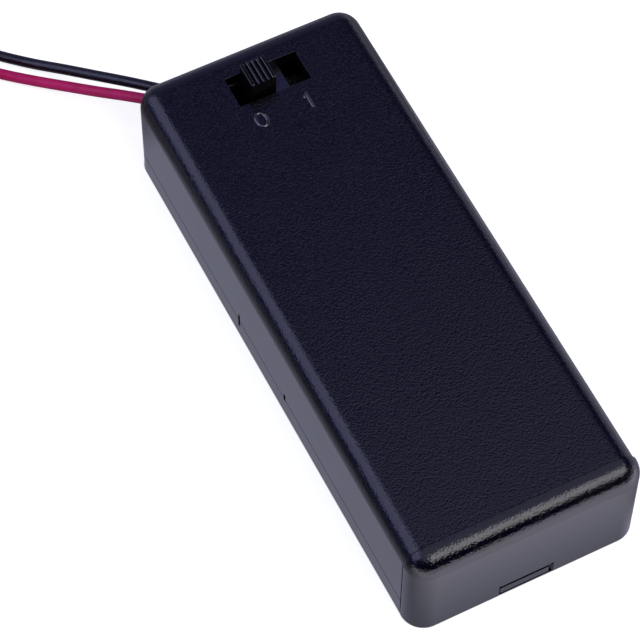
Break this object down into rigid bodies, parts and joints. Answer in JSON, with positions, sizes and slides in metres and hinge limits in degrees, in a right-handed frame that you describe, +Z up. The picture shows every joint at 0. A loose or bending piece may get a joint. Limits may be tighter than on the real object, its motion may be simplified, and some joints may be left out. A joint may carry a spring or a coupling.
{
  "type": "cylindrical cell holder",
  "caption": "Enclosed holder for two small cylindrical cells side by side, with a slide-off cover, an on-off slide switch and two wire leads.",
  "frame": {"origin": "on the resting surface, under the middle of the case", "axes": "+X across the case, +Y along it towards the switch and lead end, +Z up to the switch side"},
  "size_m": [0.0549, 0.1076, 0.0158],
  "materials": {
    "case_plastic": "black ABS, fine spark-eroded grain on the top, smooth sides",
    "slider_plastic": "black moulded plastic, ribbed knob",
    "nickel_plate": "nickel-plated sprung strip",
    "spring_wire": "nickel-plated spring wire",
    "solder": "bright tin solder and tinned strands",
    "red_sleeve": "crimson PVC insulation",
    "black_sleeve": "black PVC insulation"
  },
  "bodies": {
    "case": {"housing": "case_plastic", "series_link": "nickel_plate", "positive_terminal": "nickel_plate", "negative_terminal": "nickel_plate", "switch_terminal": "nickel_plate", "near_spring": "spring_wire", "far_spring": "spring_wire", "solder_joints": "solder", "red_lead_inner": "red_sleeve", "red_core_inner": "solder", "black_lead_inner": "black_sleeve", "black_core_inner": "solder", "red_lead": "red_sleeve", "red_lead_coil": "red_sleeve", "red_tinned_end": "solder", "black_lead": "black_sleeve", "black_lead_coil": "black_sleeve", "black_tinned_end": "solder"},
    "cover": {"slide_cover": "case_plastic"},
    "slider": {"switch_slider": "slider_plastic", "switch_bridge": "nickel_plate"}
  },
  "joints": [
    {"name": "cover_slide", "type": "slide", "parent": "case", "child": "cover", "axis": [0, -1, 0], "range_m": [0, 0.058]},
    {"name": "switch_slide", "type": "slide", "parent": "case", "child": "slider", "axis": [1, 0, 0], "range_m": [0, 0.0024]}
  ]
}
